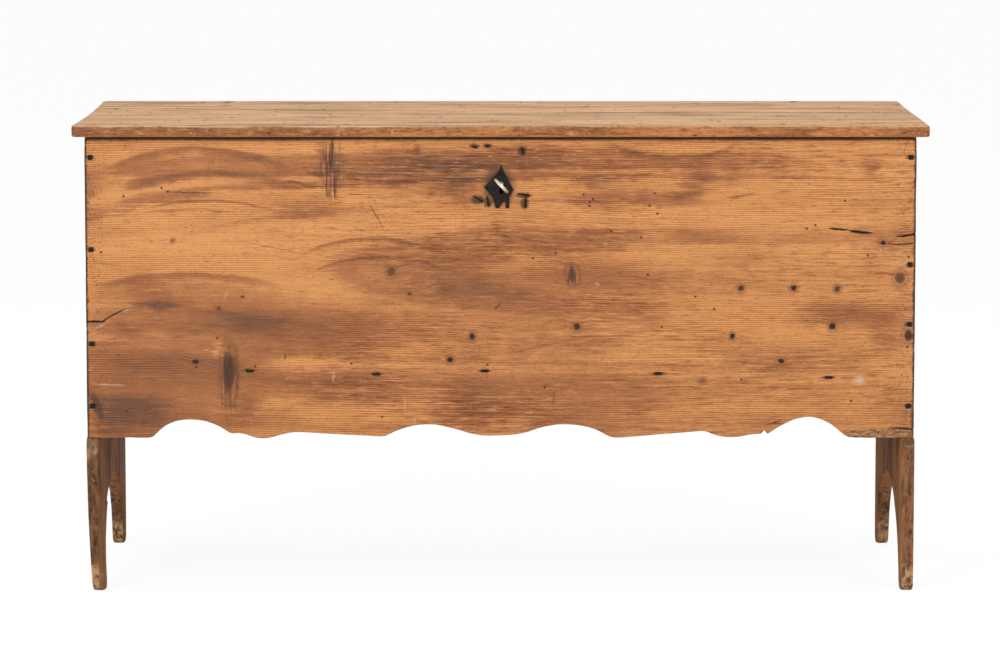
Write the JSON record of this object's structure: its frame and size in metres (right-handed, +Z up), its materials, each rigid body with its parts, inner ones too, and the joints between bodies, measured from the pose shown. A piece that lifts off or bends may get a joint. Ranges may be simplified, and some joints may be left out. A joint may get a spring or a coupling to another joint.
{
  "type": "blanket chest",
  "caption": "Six-board pine blanket chest with a scalloped front, arched end boards, wire snipe hinges and an iron chest lock with its key.",
  "frame": {"origin": "on the floor, under the middle of the whole chest's box", "axes": "+X to the viewer's right along the front, +Y from the front to the back, +Z up"},
  "size_m": [1.288, 0.5423, 0.7093],
  "materials": {
    "case_pine": "old rubbed amber finish over pine",
    "end_pine": "darkened bare pine",
    "lid_pine": "worn pale pine",
    "dark_iron": "black forge scale",
    "worn_steel": "handled bright metal"
  },
  "bodies": {
    "case": {"front_board": "case_pine", "back_board": "case_pine", "left_end_board": "end_pine", "right_end_board": "end_pine", "bottom_board": "case_pine", "front_left_nail_1": "dark_iron", "front_left_nail_2": "dark_iron", "front_left_nail_3": "dark_iron", "front_left_nail_4": "dark_iron", "front_right_nail_1": "dark_iron", "front_right_nail_2": "dark_iron", "front_right_nail_3": "dark_iron", "front_right_nail_4": "dark_iron", "back_left_nail_1": "dark_iron", "back_left_nail_2": "dark_iron", "back_left_nail_3": "dark_iron", "back_left_nail_4": "dark_iron", "back_right_nail_1": "dark_iron", "back_right_nail_2": "dark_iron", "back_right_nail_3": "dark_iron", "back_right_nail_4": "dark_iron", "bottom_front_nail_1": "dark_iron", "bottom_front_nail_2": "dark_iron", "bottom_front_nail_3": "dark_iron", "bottom_front_nail_4": "dark_iron", "bottom_front_nail_5": "dark_iron", "bottom_back_nail_1": "dark_iron", "bottom_back_nail_2": "dark_iron", "bottom_back_nail_3": "dark_iron", "bottom_back_nail_4": "dark_iron", "bottom_back_nail_5": "dark_iron", "left_hinge_case_eye": "dark_iron", "right_hinge_case_eye": "dark_iron", "lock_plate": "dark_iron", "lock_cover": "dark_iron", "cover_rivet_top": "dark_iron", "cover_rivet_bottom": "dark_iron", "bolt_spring": "dark_iron", "escutcheon": "dark_iron", "escutcheon_nail": "dark_iron", "lock_nail_1": "dark_iron", "lock_nail_2": "dark_iron", "lock_nail_3": "dark_iron", "lock_nail_4": "dark_iron", "lock_nail_5": "dark_iron", "lock_nail_6": "dark_iron", "lock_nail_7": "dark_iron"},
    "lid": {"lid_board": "lid_pine", "left_hinge_lid_eye": "dark_iron", "right_hinge_lid_eye": "dark_iron", "lock_staple": "dark_iron", "staple_nail_left": "dark_iron", "staple_nail_right": "dark_iron"},
    "key": {"key": "worn_steel"},
    "bolt": {"lock_bolt": "dark_iron"}
  },
  "joints": [
    {"name": "lid_hinge", "type": "hinge", "parent": "case", "child": "lid", "pos_m": [0, 0.26477, 0.693], "axis": [-1, 0, 0], "range_deg": [0, 105]},
    {"name": "key_turn", "type": "hinge", "parent": "case", "child": "key", "pos_m": [0.001, -0.19243, 0.6216], "axis": [0, 1, 0], "range_deg": [0, 90]},
    {"name": "bolt_slide", "type": "slide", "parent": "case", "child": "bolt", "axis": [1, 0, 0], "range_m": [0, 0.018]}
  ],
  "couplings": [
    {"joint": "bolt_slide", "follows": "key_turn", "m_per_rad": 0.011459}
  ]
}
